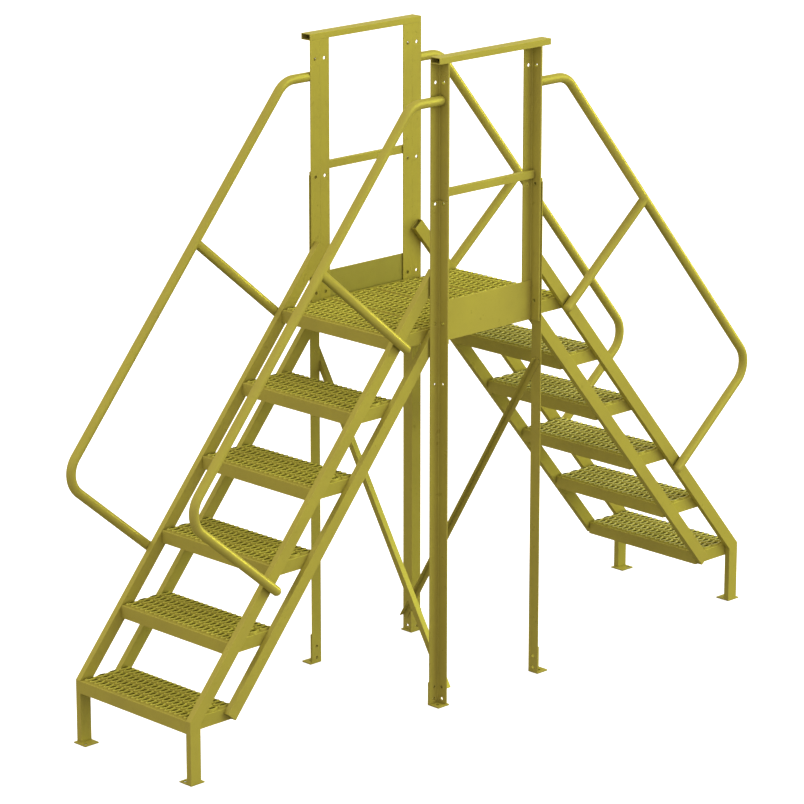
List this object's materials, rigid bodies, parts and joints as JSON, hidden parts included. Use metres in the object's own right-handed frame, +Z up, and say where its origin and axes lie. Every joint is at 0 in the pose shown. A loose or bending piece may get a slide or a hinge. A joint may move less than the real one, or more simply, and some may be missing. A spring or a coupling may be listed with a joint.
{
  "type": "crossover ladder",
  "caption": "Yellow steel crossover ladder: open-riser flights with tube handrails meet at a guarded platform on angle legs, for stepping over pipes or a conveyor.",
  "frame": {"origin": "on the floor, under the middle of the platform", "axes": "+X along the walkway from the left flight to the right flight, +Y across it from the near side to the far side, +Z up"},
  "size_m": [3.142, 0.7776, 2.5908],
  "materials": {
    "frame_paint": "satin",
    "tread_paint": "satin"
  },
  "bodies": {
    "root": {"platform_deck": "tread_paint", "near_toe_board": "frame_paint", "far_toe_board": "frame_paint", "near_mid_rail": "frame_paint", "far_mid_rail": "frame_paint", "near_top_rail": "frame_paint", "far_top_rail": "frame_paint", "left_near_platform_post": "frame_paint", "left_far_platform_post": "frame_paint", "right_near_platform_post": "frame_paint", "right_far_platform_post": "frame_paint", "left_near_flight_post": "frame_paint", "left_far_flight_post": "frame_paint", "right_near_flight_post": "frame_paint", "right_far_flight_post": "frame_paint", "left_near_leg": "frame_paint", "left_far_leg": "frame_paint", "right_near_leg": "frame_paint", "right_far_leg": "frame_paint", "left_near_foot_bracket": "frame_paint", "left_far_foot_bracket": "frame_paint", "right_near_foot_bracket": "frame_paint", "right_far_foot_bracket": "frame_paint", "left_brace": "frame_paint", "right_brace": "frame_paint", "left_tread_1": "tread_paint", "left_tread_2": "tread_paint", "left_tread_3": "tread_paint", "left_tread_4": "tread_paint", "left_tread_5": "tread_paint", "right_tread_1": "tread_paint", "right_tread_2": "tread_paint", "right_tread_3": "tread_paint", "right_tread_4": "tread_paint", "right_tread_5": "tread_paint", "left_near_front_stringer": "frame_paint", "left_far_front_stringer": "frame_paint", "right_near_front_stringer": "frame_paint", "right_far_front_stringer": "frame_paint", "left_near_rear_stringer": "frame_paint", "left_far_rear_stringer": "frame_paint", "right_near_rear_stringer": "frame_paint", "right_far_rear_stringer": "frame_paint", "left_near_handrail": "frame_paint", "left_far_handrail": "frame_paint", "right_near_handrail": "frame_paint", "right_far_handrail": "frame_paint"}
  },
  "joints": []
}
